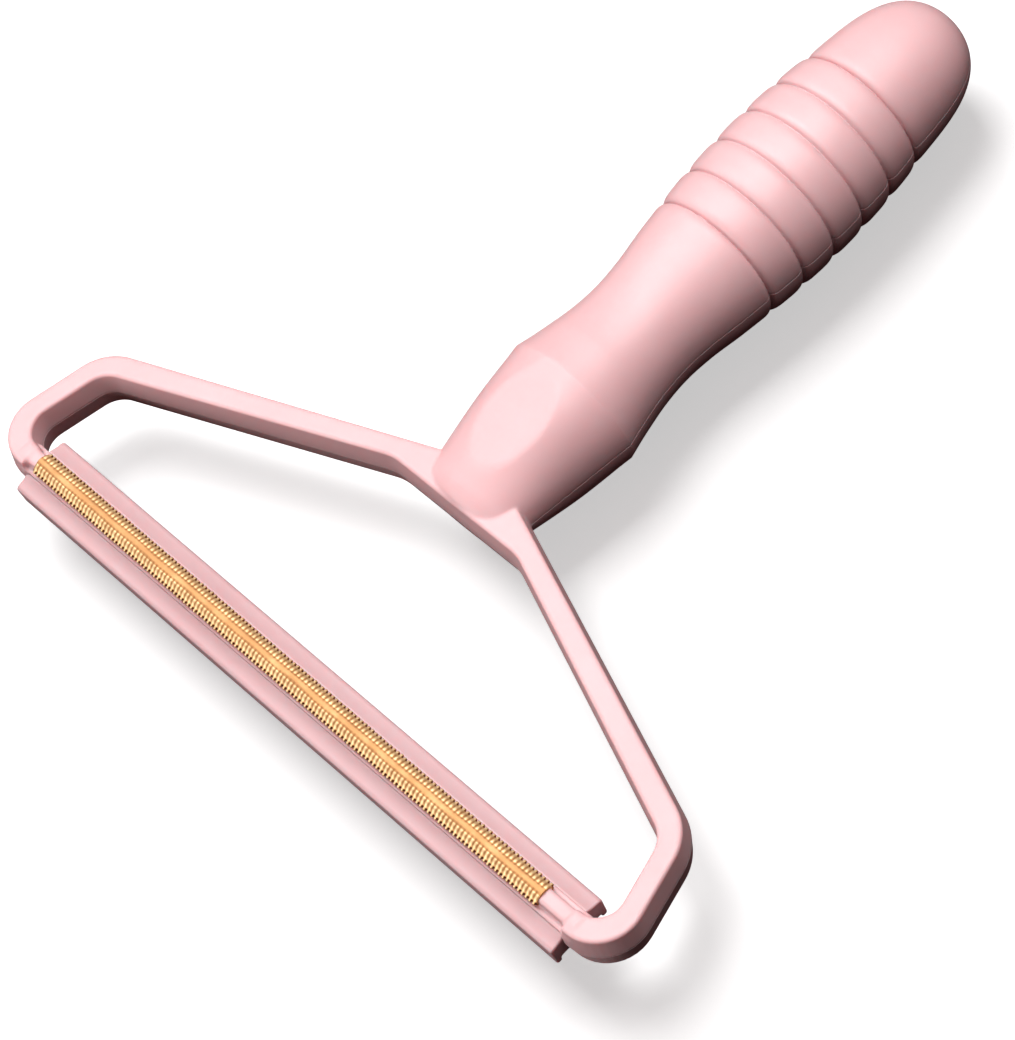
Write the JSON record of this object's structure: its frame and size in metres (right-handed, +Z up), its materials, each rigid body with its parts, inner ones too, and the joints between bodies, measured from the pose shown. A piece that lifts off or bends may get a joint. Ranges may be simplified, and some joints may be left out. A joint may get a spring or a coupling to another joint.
{
  "type": "fabric shaver",
  "caption": "Manual fabric shaver: hollow ribbed grip, slim trapezoid frame, toothed copper band pressed over the front bar between guard wings.",
  "frame": {"origin": "bottom centre of the whole tool, under the belly of the grip", "axes": "+Y along the handle towards its tip, +X along the front bar to the right, +Z up out of the face that carries the band"},
  "size_m": [0.157, 0.171, 0.0294],
  "materials": {
    "shell_plastic": "satin",
    "guard_plastic": "satin",
    "band_copper": "polished"
  },
  "bodies": {
    "root": {"upper_shell": "shell_plastic", "lower_shell": "shell_plastic", "guard_strip": "guard_plastic", "copper_band": "band_copper"}
  },
  "joints": []
}
